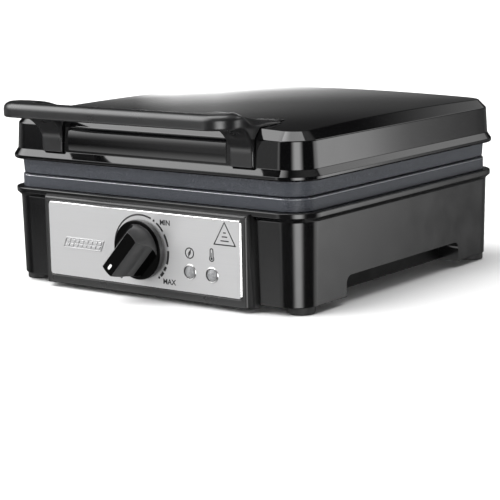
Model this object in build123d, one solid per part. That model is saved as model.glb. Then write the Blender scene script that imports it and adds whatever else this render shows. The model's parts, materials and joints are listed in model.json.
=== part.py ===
from build123d import *
import os

os.makedirs("parts", exist_ok=True)

# Waffle maker, millimetres. X to the right, Y to the back, Z up, and Z = 0 under the feet.
# Everything is drawn about the middle of the cooking plates. save() moves it, so that the
# saved origin is the middle of the whole outline, handle and hinge included.

# Cooking plates: the outline that every shell follows at some offset.
plate_half_x = 135.0
plate_half_y = 132.9
plate_corner = 18.0
seam = 83.2                    # height where the two plates meet
seam_gap = 0.6                 # shut gap between the plates
plate_ledge_gap = 0.3          # plate rim over the housing ledge

# Base housing.
wall = 2.5
foot_height = 5.6
base_top = 73.0
flange_low = 66.3              # the wall ends here and the flange flares out
flange_mid = 69.2
base_low_offset = 1.0
base_high_offset = 2.2
base_flange_offset = 5.5
mouth_offset = -2.6            # opening that the plates hang in
notch_half_y = 79.0            # hand recess low in each side wall
notch_top = 21.0
notch_inner_x = 118.5
cover_thick = 2.5
boss_x = 106.0
boss_y = 125.5
foot_x = 124.5
foot_y = 118.5
foot_radius = 9.75

# Control box on the front of the base.
box_front = -142.6
box_half_x = 94.6
box_flare = 6.0
box_back = -133.0
box_low = 3.2
box_high = 70.6
panel_half_x = 90.9
panel_low = 9.7
panel_high = 66.2
panel_corner = 2.5
panel_thick = 1.2
panel_recess = 0.8
panel_face = box_front + panel_recess - panel_thick

# Knob and thermostat.
knob_z = 37.5
knob_radius = 22.0
knob_gap = 0.7
skirt_thick = 4.6
grip_reach = 25.0              # grip face in front of the panel
grip_radius = 18.9
grip_half_face = 4.9
off_angle = 138.0              # pointer at rest, anticlockwise from the top
shaft_radius = 3.0
shaft_clearance = 0.05
shaft_front = panel_face - grip_reach + 6.0
bush_radius = 4.75
bush_front = panel_face - 0.4
thermostat_front = box_front + wall + 1.0
thermostat_back = thermostat_front + 18.0
lamp_places = ((44.9, 25.2), (64.8, 25.0))
lens_radius = 4.5
bezel_radius = 5.75

# Lid.
lid_low = 95.0
lid_flange_offset = 6.4
lid_low_offset = 3.3
lid_high_offset = 2.1
lid_flange_top = 102.7
bevel_low = 122.2
bevel_rise = 11.0
crown_top = 133.0
crown_radius_x = 2760.0
crown_radius_y = 4650.0

# Handle.
bar_front = -181.0
bar_back = -167.5
bar_half_x = 106.0
bar_corner = 18.0
bar_low = 132.3
bar_high = 143.2
bar_round = 5.0
bar_low_round = 1.3
bar_turn_y = bar_front + bar_corner    # the bar's top starts to bend down here
arm_inner_x = 79.0
arm_outer_x = 98.0
arm_back = -131.0               # inner edge of the arm meets the lid's top here
leg_outer_x = 94.5
leg_front = -138.4
leg_foot = 106.0               # the leg's front is upright below this height
wing_back = -86.0
handle_screw_places = ((87.0, 119.0), (-87.0, 119.0))

# Fairing between the handle's legs.
fairing_half_x = 74.0
fairing_face = -136.6
fairing_bend = 11.0
fairing_top = 130.4
fairing_corner = 9.0
fairing_back = -118.0

# Hinge.
hinge_y = 146.5
hinge_z = 89.0
pin_radius = 2.5
pin_clearance = 0.05
knuckle_radius = 7.5
hinge_x = 84.0
hinge_half = 22.0
ear_thick = 8.0
ear_gap = 0.3
bracket_screw_places = [(x, z) for x in (-hinge_x, hinge_x) for z in (42.0, 56.0)]
arm_screw_places = [(x, z) for x in (-hinge_x, hinge_x) for z in (107.5, 115.5)]

# Cord gland in the rear wall.
gland_z = 25.0
gland_neck = 5.0
gland_bore = 3.6

# Waffle moulds.
cavity_depth = 12.0
floor_thick = 3.5
cavity_inner = 5.0
cavity_margin = 8.5
cavity_draft = 5.0
cavity_size_x = plate_half_x - cavity_margin - cavity_inner
cavity_size_y = plate_half_y - cavity_margin - cavity_inner
peg_height = 9.0
peg_base = 14.6
peg_tip = 11.4
pegs_each_way = 5
post_places = ((110, 108), (-110, 108), (110, -108), (-110, -108))
post_radius = 4.5
screw_radius = 1.6
lower_face = seam - seam_gap / 2
upper_face = seam + seam_gap / 2
lower_band = lower_face - base_top - plate_ledge_gap
upper_band = lid_low - plate_ledge_gap - upper_face
lower_back = lower_face - cavity_depth - floor_thick
upper_back = upper_face + cavity_depth + floor_thick
lower_post = 19.0
upper_post = 13.0

# Heaters.
element_radius = 3.25
element_half = 98.0
terminal_x = 22.0

# Outline from the handle's front to the hinge knuckles' back, centred by save().
outline_back = hinge_y + knuckle_radius
shift_y = -(bar_front + outline_back) / 2


def save(node, *solids):
    """Write one node, which may be several separate solids."""
    moved = [Pos(0, shift_y, 0) * solid for shape in solids for solid in shape.solids()]
    export_step(Compound(children=moved) if len(moved) > 1 else moved[0], f"parts/{node}.step")


def outline(offset, z):
    """Rounded rectangle at a distance outside the plates' edge."""
    corner = max(plate_corner + offset, 2.0)
    size_x = 2 * (plate_half_x + offset)
    size_y = 2 * (plate_half_y + offset)
    return Pos(0, 0, z) * RectangleRounded(size_x, size_y, corner)


def slab(offset, low, high):
    return extrude(outline(offset, low), high - low)


def drafted(offset_low, offset_high, low, high):
    return loft([outline(offset_low, low).face(), outline(offset_high, high).face()])


def rod(start, end, radius):
    """Cylinder between two points."""
    way = Vector(*end) - Vector(*start)
    return extrude(Plane(origin=start, z_dir=way) * Circle(radius), way.length)


def block(x, y, z):
    """Box from three (low, high) pairs."""
    middle = Pos((x[0] + x[1]) / 2, (y[0] + y[1]) / 2, (z[0] + z[1]) / 2)
    return middle * Box(x[1] - x[0], y[1] - y[0], z[1] - z[0])


def both_sides(shape):
    return [shape, mirror(shape, Plane.YZ)]


def side_profile(curve, x_low, x_high):
    """Extrude an outline drawn in Y and Z along X."""
    sketch = make_face(Plane.YZ * curve)
    return Pos(x_low, 0, 0) * extrude(sketch, x_high - x_low, dir=(1, 0, 0))


# ---------------------------------------------------------------- base shells


def base_outer(grow=0.0):
    low = drafted(base_low_offset + grow, base_high_offset + grow, foot_height, flange_low)
    flare = drafted(base_high_offset + grow, base_flange_offset + grow, flange_low, flange_mid)
    rim = slab(base_flange_offset + grow, flange_mid, base_top)
    return low + flare + rim


def notches(grow=0.0):
    """Hand recesses in the side walls, with rounded upper corners."""
    x_span = (notch_inner_x - grow, plate_half_x + 20)
    y_span = (-notch_half_y - grow, notch_half_y + grow)
    one = block(x_span, y_span, (-5, notch_top + grow))
    upper = one.edges().filter_by(Axis.X).group_by(Axis.Z)[-1]
    one = fillet(upper, 6.0 + grow)
    return both_sides(one)


def base_housing():
    hollow = drafted(base_low_offset - wall, base_high_offset - wall, foot_height - 1, flange_low)
    hollow += slab(base_high_offset - wall, flange_low, base_top - wall)
    hollow -= notches(wall)
    mouth = slab(mouth_offset, base_top - 2 * wall, base_top + 1)
    shell = base_outer() - notches() - hollow - mouth
    # Window behind the control box, for the thermostat and the lamps.
    shell -= block((-76, 76), (-140, -128), (14, 60))
    for x in (boss_x, -boss_x):
        for side in (1, -1):
            boss = Pos(x, side * boss_y, 0) * extrude(Pos(0, 0, 8.1) * Circle(4.5), 24)
            web_y = sorted((side * boss_y, side * (plate_half_y - 0.5)))
            web = block((x - 1.5, x + 1.5), web_y, (8.1, 32.1))
            shell += boss + web
            shell -= rod((x, side * boss_y, 5), (x, side * boss_y, 26), 1.3)
    # Cord gland hole and hinge screw holes in the rear wall.
    shell -= rod((0, 120, gland_z), (0, 150, gland_z), gland_neck)
    for place in bracket_screw_places:
        shell -= rod((place[0], 125, place[1]), (place[0], 150, place[1]), screw_radius)
    return shell


def bottom_cover():
    plate = slab(base_low_offset - wall - 0.2, foot_height, foot_height + cover_thick)
    plate -= notches(wall + 0.2)
    slots = []
    for row in range(-3, 4):
        for column in (-1, 0, 1):
            slot = Pos(column * 60, row * 16, foot_height) * SlotOverall(42, 4)
            slots.append(extrude(slot, cover_thick))
    plate -= slots
    for x in (-1, 1):
        for y in (-1, 1):
            plate -= rod((x * foot_x, y * foot_y, 0), (x * foot_x, y * foot_y, 20), 2.5)
            plate -= rod((x * boss_x, y * boss_y, 0), (x * boss_x, y * boss_y, 20), 1.7)
            plate -= rod((x * boss_x, y * boss_y, 0), (x * boss_x, y * boss_y, 7.2), 3.3)
    return plate


def rubber_feet():
    """Pads with a stem and a barb that snap through the bottom cover."""
    pad = extrude(Circle(foot_radius), foot_height)
    pad = fillet(pad.edges().filter_by(GeomType.CIRCLE).group_by(Axis.Z)[0], 1.2)
    stem = rod((0, 0, foot_height), (0, 0, foot_height + 4.6), 2.5)
    barb_low = foot_height + cover_thick
    barb = Pos(0, 0, barb_low + 1.5) * Cone(3.4, 2.5, 3.0)
    foot = pad + stem + barb
    return [Pos(x * foot_x, y * foot_y, 0) * foot for x in (-1, 1) for y in (-1, 1)]


def pan_screw(start, end, head_radius, head_height, shank_radius=screw_radius):
    """Screw whose head sits at start and whose tip is at end."""
    way = (Vector(*end) - Vector(*start)).normalized()
    neck = Vector(*start) + way * head_height
    head = rod(start, tuple(neck), head_radius)
    shank = rod(tuple(neck), end, shank_radius)
    cross = Plane(origin=start, z_dir=way) * (Rectangle(head_radius, 0.8) + Rectangle(0.8, head_radius))
    return head + shank - extrude(cross, head_height * 0.6)


def cover_screws():
    screws = []
    for x in (-boss_x, boss_x):
        for y in (-boss_y, boss_y):
            screws.append(pan_screw((x, y, 5.9), (x, y, 22), 3.0, 1.3, 1.3))
    return screws


# ---------------------------------------------------------------- control box


def control_box():
    plan = Polygon(
        (-box_half_x, box_front), (box_half_x, box_front),
        (box_half_x + box_flare, box_back), (-box_half_x - box_flare, box_back),
        align=None,
    )
    body = extrude(Pos(0, 0, box_low) * plan, box_high - box_low)
    slope = Polyline(
        (box_back, box_low - 1), (box_front - 1, box_low - 1), (box_front - 1, box_high - 1.8),
        (box_front + 1.2, box_high - 1.0), (box_front + 4.2, box_high), (box_back, box_high),
        close=True,
    )
    body &= side_profile(slope, -120, 120)
    upright = body.edges().filter_by(Axis.Z).group_by(Axis.Y)[0]
    body = fillet(upright, 2.0)
    inner = Polygon(
        (-box_half_x + wall, box_front + wall), (box_half_x - wall, box_front + wall),
        (box_half_x + box_flare - wall, box_back + 1), (-box_half_x - box_flare + wall, box_back + 1),
        align=None,
    )
    body -= extrude(Pos(0, 0, box_low + wall) * inner, box_high - box_low - 2 * wall)
    body -= base_outer(0.05)
    body -= block((-200, 200), (-138, -100), (box_low - 1, foot_height + 0.05))
    body -= panel_shape(0.2, box_front - 1, box_front + panel_recess)
    body -= rod((0, -150, knob_z), (0, -130, knob_z), 6.5)
    for x, z in lamp_places:
        body -= rod((x, -150, z), (x, -130, z), lens_radius)
    return body


def panel_shape(grow, front, back):
    """Rounded steel panel between two depths."""
    middle_z = (panel_low + panel_high) / 2
    size_x = 2 * (panel_half_x + grow)
    size_z = panel_high - panel_low + 2 * grow
    face = Plane.XZ * RectangleRounded(size_x, size_z, panel_corner + grow)
    return Pos(0, back, middle_z) * extrude(face, back - front)


def control_panel_plate():
    plate = panel_shape(0, panel_face, box_front + panel_recess)
    plate -= rod((0, -150, knob_z), (0, -130, knob_z), 5.2)
    for x, z in lamp_places:
        plate -= rod((x, -150, z), (x, -130, z), lens_radius)
    front = plate.faces().sort_by(Axis.Y)[0]
    return chamfer(front.outer_wire().edges(), 0.3)


def lamp_bezels():
    rings = []
    for x, z in lamp_places:
        ring = rod((x, panel_face - 0.6, z), (x, panel_face, z), bezel_radius)
        ring -= rod((x, panel_face - 1, z), (x, panel_face, z), lens_radius)
        rings.append(ring)
    return rings


def lamp_lenses():
    """Domed lenses pushed through the panel from behind."""
    lenses = []
    for x, z in lamp_places:
        barrel = rod((x, panel_face, z), (x, box_front + wall, z), lens_radius)
        dome = Pos(x, panel_face + 7.0, z) * Sphere(8.32)
        dome &= rod((x, panel_face - 1.6, z), (x, panel_face, z), lens_radius)
        lenses.append(barrel + dome)
    return lenses


def lamp_bodies():
    bodies = []
    for x, z in lamp_places:
        start = box_front + wall
        can = rod((x, start, z), (x, start + 11, z), 5.6)
        legs = [rod((x + s, start + 11, z), (x + s, start + 17, z), 0.6) for s in (-2, 2)]
        bodies.append(can + legs)
    return bodies


# ---------------------------------------------------------------- thermostat and knob

def thermostat_bracket():
    sheet = block((-26, 26), (box_front + wall, thermostat_front), (knob_z - 13, knob_z + 13))
    return sheet - rod((0, -150, knob_z), (0, -130, knob_z), bush_radius)


def thermostat_bushing():
    tube = rod((0, bush_front, knob_z), (0, thermostat_front, knob_z), bush_radius)
    return tube - rod((0, -150, knob_z), (0, -130, knob_z), shaft_radius + shaft_clearance)


def thermostat_nut():
    hexagon = Plane.XZ * RegularPolygon(6.3, 6)
    nut = Pos(0, box_front + wall, knob_z) * extrude(hexagon, 1.6)
    return nut - rod((0, -150, knob_z), (0, -130, knob_z), bush_radius)


def thermostat_body():
    case = block((-15, 15), (thermostat_front, thermostat_back), (knob_z - 11, knob_z + 11))
    case -= rod((0, -150, knob_z), (0, thermostat_front + 8.05, knob_z), shaft_radius + shaft_clearance)
    tabs = [
        block((s - 0.4, s + 0.4), (thermostat_back, thermostat_back + 8), (knob_z - 9, knob_z - 3))
        for s in (-10, 10)
    ]
    return case + tabs


def thermostat_sensor():
    """Capillary tube and bulb: the bulb lies under the lower plate."""
    route = FilletPolyline(
        (0, thermostat_back, knob_z + 5), (0, -114, knob_z + 5), (-20, -104, 43), (-50, -60, 43),
        (-50, -35, 43), radius=6,
    )
    tube = sweep((route ^ 0) * Circle(0.8), path=route)
    bulb = rod((-50, -36, 43), (-50, 20, 43), 2.0)
    return tube + bulb


def thermostat_shaft():
    shaft = rod((0, shaft_front, knob_z), (0, thermostat_front + 8, knob_z), shaft_radius)
    return shaft - knob_flat()


def knob_flat():
    """Flat on the front stretch of the shaft, which the knob's socket matches."""
    flat = block((-4, 4), (shaft_front - 1, shaft_front + 9), (1.8, 4))
    return Pos(0, 0, knob_z) * Rot(0, -off_angle, 0) * flat


def control_knob():
    """Round skirt with a tall grip bar, whose sides flare down to the skirt in two facets."""
    back = panel_face - knob_gap
    skirt_front = back - skirt_thick
    front = panel_face - grip_reach
    skirt = rod((0, skirt_front, 0), (0, back, 0), knob_radius)
    skirt = fillet(skirt.edges().filter_by(GeomType.CIRCLE).group_by(Axis.Y)[0], 1.4)
    grip = rod((0, front, 0), (0, skirt_front, 0), grip_radius)
    crease = (grip_half_face + 4.4, front + 11.0)
    flank = Line((grip_half_face, front - 1), (grip_half_face, front))
    flank += ThreePointArc((grip_half_face, front), (grip_half_face + 2.9, front + 5.6), crease)
    flank += ThreePointArc(crease, (grip_half_face + 7.2, front + 16.2), (grip_radius - 3.0, skirt_front))
    flank += Polyline(
        (grip_radius - 3.0, skirt_front), (knob_radius, skirt_front), (knob_radius, front - 1),
        (grip_half_face, front - 1),
    )
    cutter = extrude(make_face(flank), 30, both=True)
    grip -= both_sides(cutter)
    knob = skirt + grip
    knob -= rod((0, back + 1, 0), (0, back - 2.5, 0), 10)
    knob -= rod((0, back + 1, 0), (0, shaft_front, 0), shaft_radius)
    key = block((-4, 4), (shaft_front, shaft_front + 9), (1.8, 4)) & rod(
        (0, shaft_front, 0), (0, shaft_front + 9, 0), shaft_radius
    )
    knob += key
    return Pos(0, 0, knob_z) * Rot(0, -off_angle, 0) * knob - knob_pointer_mark()


def knob_pointer_mark():
    """White bar let into the grip's face at its pointing end."""
    front = panel_face - grip_reach
    mark = Plane.XZ * RectangleRounded(2.0, 4.6, 0.9)
    mark = Pos(0, front + 0.6, grip_radius - 5.6) * extrude(mark, 0.65)
    return Pos(0, 0, knob_z) * Rot(0, -off_angle, 0) * mark


def knob_spring_clip():
    """Spring steel clip on the shaft inside the knob."""
    y = panel_face - knob_gap - 2.3
    ring = rod((0, y, knob_z), (0, y + 1.0, knob_z), 5.2)
    ring -= rod((0, y - 1, knob_z), (0, y + 2, knob_z), shaft_radius)
    return ring - block((-1, 1), (y - 1, y + 2), (knob_z, knob_z + 8))


# ---------------------------------------------------------------- cooking plates


def cavity_centres():
    x = cavity_inner + cavity_size_x / 2
    y = cavity_inner + cavity_size_y / 2
    return [(side_x * x, side_y * y) for side_x in (-1, 1) for side_y in (-1, 1)]


def cavity(x, y):
    """One mould, open upwards at z = 0, with sloped walls and rounded corners."""
    top = Pos(x, y, 0) * RectangleRounded(cavity_size_x, cavity_size_y, 9)
    low = Pos(x, y, -cavity_depth) * RectangleRounded(
        cavity_size_x - cavity_draft, cavity_size_y - cavity_draft, 7
    )
    return loft([low.face(), top.face()])


def pegs(x, y):
    """Square tapered pegs on the floor of one mould."""
    foot = Pos(0, 0, -cavity_depth - 0.5) * Rectangle(peg_base, peg_base)
    tip = Pos(0, 0, peg_height - cavity_depth) * Rectangle(peg_tip, peg_tip)
    peg = loft([foot.face(), tip.face()])
    pitch_x = (cavity_size_x + 2) / pegs_each_way
    pitch_y = (cavity_size_y + 2) / pegs_each_way
    middle = (pegs_each_way - 1) / 2
    steps = [(i - middle, j - middle) for i in range(pegs_each_way) for j in range(pegs_each_way)]
    return [Pos(x + i * pitch_x, y + j * pitch_y, 0) * peg for i, j in steps]


def waffle_plate(band, face_offset, back_offset, post_length):
    """Cast plate with its cooking face up at z = 0 and its rim `band` tall."""
    rim = drafted(back_offset, face_offset, -band, 0)
    rim = fillet(rim.edges().group_by(Axis.Z)[-1], 1.1)
    depth = cavity_depth + floor_thick
    body = slab(-4.5, -depth, -band + 0.5) if depth > band else None
    plate = rim + body
    channel = slab(-3.2, -1.4, 1) - slab(-5.4, -1.4, 1)
    plate -= channel
    plate -= [cavity(x, y) for x, y in cavity_centres()]
    plate += [peg for x, y in cavity_centres() for peg in pegs(x, y)]
    for x, y in post_places:
        plate += rod((x, y, -depth), (x, y, -depth - post_length), post_radius)
        plate -= rod((x, y, -depth - 1), (x, y, -depth - post_length), screw_radius)
    return plate


def lower_waffle_plate():
    return Pos(0, 0, lower_face) * waffle_plate(lower_band, 0, 0, lower_post)


def upper_waffle_plate():
    plate = waffle_plate(upper_band, -0.9, -0.1, upper_post)
    return Pos(0, 0, upper_face) * mirror(plate, Plane.XY)


def element_tube(z):
    """Tubular heater bent round under the plate, open at the back."""
    route = FilletPolyline(
        (-terminal_x, element_half, z), (-element_half, element_half, z),
        (-element_half, -element_half, z), (element_half, -element_half, z),
        (element_half, element_half, z), (terminal_x, element_half, z), radius=20,
    )
    return sweep((route ^ 0) * Circle(element_radius), path=route)


def element_terminals(z, end_z):
    """Ceramic-necked pins that leave the heater's two ends at right angles."""
    pins = []
    for x in (-terminal_x, terminal_x):
        towards = -1 if x > 0 else 1
        elbow = (x + towards * 4.0, element_half, z)
        cap = rod((x, element_half, z), (x + towards * 8.0, element_half, z), element_radius)
        stem = rod(elbow, (elbow[0], elbow[1], end_z), 2.0)
        pins.append(cap + stem)
    return pins


def heat_tray(open_z, shut_z):
    """Pressed sheet pan with its open side towards the plate."""
    skin = 0.8
    low, high = sorted((open_z, shut_z))
    if shut_z > open_z:
        room = slab(-17 - skin, low - 5, high - skin)
    else:
        room = slab(-17 - skin, low + skin, high + 5)
    pan = slab(-17, low, high) - room
    for x in (-terminal_x + 4, terminal_x - 4):
        pan -= rod((x, element_half, low - 10), (x, element_half, high + 10), 5)
    for x, y in post_places:
        pan -= rod((x, y, low - 10), (x, y, high + 10), screw_radius + 0.2)
    return pan


def plate_screws(head_z, tip_z):
    return [pan_screw((x, y, head_z), (x, y, tip_z), 3.5, 2.0, screw_radius) for x, y in post_places]


# ---------------------------------------------------------------- lid


def crown(drop=0.0):
    """Solid under a surface that is arched both ways."""
    top = crown_top - drop
    half = 160.0
    sag = half * half / (2 * crown_radius_x)
    arch = ThreePointArc((-half, top - sag), (0, top), (half, top - sag))
    arch += Polyline((half, top - sag), (half, 60), (-half, 60), (-half, top - sag))
    face = make_face(Plane.XZ * arch)
    axis = Axis((0, 0, top - crown_radius_y), (1, 0, 0))
    return revolve(face.rotate(axis, -2.1), axis, 4.2)


def lid_block(shrink):
    """Lid wall and bevel without the flange, in from the outside by shrink."""
    side = drafted(lid_low_offset - shrink, lid_high_offset - shrink, lid_flange_top, bevel_low)
    rise_offset = lid_high_offset - shrink - bevel_rise
    bevel = drafted(lid_high_offset - shrink, rise_offset, bevel_low, bevel_low + bevel_rise)
    return (side + bevel) & crown(shrink)


def lid_outer():
    edge = drafted(lid_flange_offset - 1.0, lid_flange_offset, lid_low, lid_low + 1.0)
    band = slab(lid_flange_offset, lid_low + 1.0, lid_low + 3.0)
    slope = drafted(lid_flange_offset, lid_low_offset, lid_low + 3.0, lid_flange_top)
    return edge + band + slope + lid_block(0)


def lid_cover():
    hollow = slab(lid_high_offset - wall - 0.5, lid_low + wall, lid_flange_top) + lid_block(wall)
    shell = lid_outer() - hollow - slab(mouth_offset, lid_low - 1, lid_low + wall + 1)
    for x, z in arm_screw_places:
        shell -= rod((x, 125, z), (x, 145, z), screw_radius)
    for x, z in handle_screw_places:
        shell -= rod((x, -145, z), (x, -125, z), screw_radius)
    return shell


def lid_front_panel():
    """Rounded fairing on the lid's front between the handle's legs."""
    bend_low = (fairing_face, fairing_top - fairing_bend)
    bend_high = (fairing_face + fairing_bend, fairing_top)
    shape = Polyline((fairing_back, lid_flange_top), (fairing_face, lid_flange_top), bend_low)
    shape += RadiusArc(bend_low, bend_high, fairing_bend)
    shape += Polyline(bend_high, (fairing_back, fairing_top), (fairing_back, lid_flange_top))
    fairing = side_profile(shape, -fairing_half_x, fairing_half_x)
    front_height = 60.0
    front = Plane.XZ * RectangleRounded(2 * fairing_half_x, front_height, fairing_corner)
    middle_z = fairing_top - front_height / 2
    fairing &= Pos(0, fairing_back + 8, middle_z) * extrude(front, 40)
    fairing -= lid_outer()
    return fairing.solids().sort_by(SortBy.VOLUME)[-1]


def handle():
    """Grip bar, with an arm at each end that drops onto the lid and runs back as a wing."""
    above = extrude(Pos(0, 0, 100) * handle_plan(), 50)
    body = above & side_profile(handle_side(), -120, 120)

    # Round the grip bar's long edges.
    rim = body.edges().filter_by(lambda e: e.center().Z > bar_high - 0.3 and e.center().Y < -160)
    body = fillet(rim, bar_round)
    floor_edges = body.edges().filter_by(
        lambda e: abs(e.center().Z - bar_low) < 0.1 and e.center().Y < bar_back - 2
    )
    body = fillet(floor_edges, bar_low_round)

    # Outer shoulders of the arms slope away to the lid's corner, and the legs below are narrower.
    body -= shoulder_cut()
    body -= leg_side_cut()
    body -= wing_end_cut()
    body -= lid_outer()
    body = body.solids().sort_by(SortBy.VOLUME)[-1]
    for x, z in handle_screw_places:
        body -= rod((x, leg_front + 1.5, z), (x, -130, z), screw_radius)
    return body


def handle_plan():
    """Outline from above: the bar, its rounded ends, and the arms that run back as wings."""
    bar_turn = bar_half_x - bar_corner
    fork = 10.0
    half = Polyline((0, bar_back), (0, bar_front), (bar_turn, bar_front))
    half += RadiusArc((bar_turn, bar_front), (bar_half_x, bar_front + bar_corner), -bar_corner)
    half += Spline(
        (bar_half_x, bar_front + bar_corner), (103.0, -149), (arm_outer_x + 0.6, -134),
        (arm_outer_x, -116), (arm_outer_x, wing_back),
        tangents=((0, 1), (0, 1)),
    )
    half += Polyline(
        (arm_outer_x, wing_back), (88.0, wing_back), (arm_inner_x + 3, arm_back),
        (arm_inner_x, arm_back - 6), (arm_inner_x, bar_back + fork),
    )
    half += RadiusArc((arm_inner_x, bar_back + fork), (arm_inner_x - fork, bar_back), fork)
    half += Line((arm_inner_x - fork, bar_back), (0, bar_back))
    plan = make_face(half)
    return plan + mirror(plan, Plane.YZ)


def handle_side():
    """Outline from the side: level bar, arm bending down to the lid, and the leg's hollow front."""
    top_line = Spline(
        (bar_turn_y, bar_high), (-154, 142.6), (-145, 140.8), (-133, 137.2), (-121, 134.6),
        (-106, 133.1), (wing_back, 130.9),
        tangents=((1, 0), (1, -0.1)),
    )
    side = Polyline(
        (bar_turn_y, bar_high), (bar_front, bar_high), (bar_front, bar_low), (bar_turn_y - 1, bar_low)
    )
    side += Spline(
        (bar_turn_y - 1, bar_low), (-152, 129.6), (-144.5, 124.0), (leg_front - 1.0, 116.5),
        (leg_front, leg_foot),
        tangents=((1, 0), (0.02, -1)),
    )
    side += Polyline(
        (leg_front, leg_foot), (leg_front, lid_flange_top), (-120, lid_flange_top), (wing_back, 120),
        (wing_back, 130.9),
    )
    return side + top_line


def leg_side_cut():
    """Takes the legs' outer sides in below the arms."""
    far_x = 112.0
    slope = Polyline(
        (leg_outer_x, 100), (leg_outer_x, 121.5), (arm_outer_x + 0.4, 128.5), (far_x, 128.5), (far_x, 100),
        close=True,
    )
    return both_sides(Pos(0, -125, 0) * extrude(make_face(Plane.XZ * slope), 25))


def wing_end_cut():
    """Takes the outer corner off each wing's back end and rounds what is left."""
    cut = ThreePointArc((arm_outer_x + 0.2, -97), (97.4, -93.8), (95.8, -91.8))
    cut += Line((95.8, -91.8), (91.4, -87.8))
    cut += ThreePointArc((91.4, -87.8), (89.2, -87.3), (87.4, -89.2))
    cut += Polyline((87.4, -89.2), (80, -89.2), (80, -75), (112, -75), (112, -97), (arm_outer_x + 0.2, -97))
    return both_sides(Pos(0, 0, 100) * extrude(make_face(cut), 50))


def shoulder_cut():
    """Wedges above the arms' outer edges, lofted through sections along Y."""
    # Each section's Y, then its ridge and its outer edge in X and Z.
    stations = (
        (-172, 104.0, 143.5, 107.0, 143.2),
        (-158, 97.5, 143.3, 105.0, 140.8),
        (-146, 92.0, 141.2, 102.0, 135.6),
        (-134, 90.0, 137.5, 98.4, 132.0),
        (-120, 90.0, 134.5, 98.0, 132.0),
        (-104, 90.5, 133.0, 97.0, 131.7),
        (-84, 91.0, 130.9, 96.0, 130.3),
    )
    sections = []
    for y, ridge_x, ridge_z, edge_x, edge_z in stations:
        fall = (ridge_z - edge_z) / (edge_x - ridge_x)
        far_x = edge_x + 6
        corners = [
            (ridge_x, y, ridge_z), (far_x, y, edge_z - 6 * fall), (far_x, y, 155), (ridge_x, y, 155),
        ]
        sections.append(make_face(Polyline(*corners, close=True)))
    return both_sides(loft(sections, ruled=False))


# ---------------------------------------------------------------- hinge

def hinge_brackets():
    """Base half of each hinge: a foot on the rear wall and two ears."""
    low_x = hinge_x - hinge_half
    high_x = hinge_x + hinge_half
    wall_y = plate_half_y + base_high_offset
    foot = block((low_x, high_x), (wall_y + 0.05, 139.5), (34, 62))
    web = block((low_x, high_x), (138.8, 146.0), (34, 79))
    ear = block((low_x, high_x), (139.6, 153.4), (60, hinge_z))
    ear += rod((low_x, hinge_y, hinge_z), (high_x, hinge_y, hinge_z), knuckle_radius)
    gap = block((low_x + ear_thick, high_x - ear_thick), (130, 160), (79, 110))
    lead = side_profile(
        Polyline((146, 50), (160, 50), (160, hinge_z), (hinge_y + knuckle_radius, hinge_z), close=True),
        low_x, high_x,
    )
    ear -= lead
    bracket = foot + web + (ear - gap)
    bracket -= rod((low_x - 1, hinge_y, hinge_z), (high_x + 1, hinge_y, hinge_z), pin_radius)
    for x, z in bracket_screw_places:
        if x > 0:
            bracket -= rod((x, 130, z), (x, 160, z), screw_radius)
            bracket -= rod((x, 143.5, z), (x, 160, z), 3.7)
    return both_sides(bracket)


def lid_hinge_arms():
    """Lid half of each hinge: a barrel between the ears and an arm up the lid's rear wall."""
    low_x = hinge_x - hinge_half + ear_thick + ear_gap
    high_x = hinge_x + hinge_half - ear_thick - ear_gap
    wall_y = plate_half_y + lid_low_offset
    arm = block((low_x, high_x), (139.7, 147.5), (hinge_z + 3, 119))
    arm += block((low_x, high_x), (wall_y + 0.05, 141), (103.4, 119))
    arm += rod((low_x, hinge_y, hinge_z), (high_x, hinge_y, hinge_z), knuckle_radius - 0.3)
    arm = fillet(arm.edges().filter_by(Axis.X).group_by(Axis.Z)[-1].sort_by(Axis.Y)[-1], 5)
    arm -= rod((low_x - 1, hinge_y, hinge_z), (high_x + 1, hinge_y, hinge_z), pin_radius + pin_clearance)
    for x, z in arm_screw_places:
        if x > 0:
            arm -= rod((x, 130, z), (x, 160, z), screw_radius)
            arm -= rod((x, 145, z), (x, 160, z), 3.7)
    return both_sides(arm)


def hinge_pins():
    low_x = hinge_x - hinge_half
    high_x = hinge_x + hinge_half
    pin = rod((low_x - 1.5, hinge_y, hinge_z), (high_x, hinge_y, hinge_z), pin_radius)
    head = rod((high_x, hinge_y, hinge_z), (high_x + 1.5, hinge_y, hinge_z), 4.0)
    return both_sides(pin + head)


def hinge_bracket_screws():
    return [pan_screw((x, 145.6, z), (x, 129, z), 3.5, 2.1) for x, z in bracket_screw_places]


def hinge_arm_screws():
    return [pan_screw((x, 147.1, z), (x, 131, z), 3.5, 2.1) for x, z in arm_screw_places]


def handle_screws():
    return [pan_screw((x, -130.6, z), (x, leg_front + 1.6, z), 3.5, 1.6) for x, z in handle_screw_places]


# ---------------------------------------------------------------- electrics


def cord_gland():
    """Rubber strain relief in the rear wall, with a through bore for a cord."""
    wall_y = 134.5
    collar = rod((0, wall_y, gland_z), (0, wall_y + 2.4, gland_z), 8)
    neck = rod((0, wall_y - 3.2, gland_z), (0, wall_y, gland_z), gland_neck)
    inner = rod((0, wall_y - 5.4, gland_z), (0, wall_y - 3.2, gland_z), 7)
    tail = loft([
        (Plane(origin=(0, wall_y + 2.4, gland_z), z_dir=(0, 1, 0)) * Circle(6.2)).face(),
        (Plane(origin=(0, 152.5, gland_z), z_dir=(0, 1, 0)) * Circle(5.2)).face(),
    ])
    gland = collar + neck + inner + tail
    return gland - rod((0, 120, gland_z), (0, 160, gland_z), gland_bore)


def terminal_block():
    body = block((24, 50), (98, 112), (8.1, 20))
    for x in (29, 37, 45):
        body -= rod((x, 90, 14), (x, 103, 14), 2.2)
        body -= rod((x, 102, 25), (x, 102, 14), 1.8)
    return body


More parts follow.
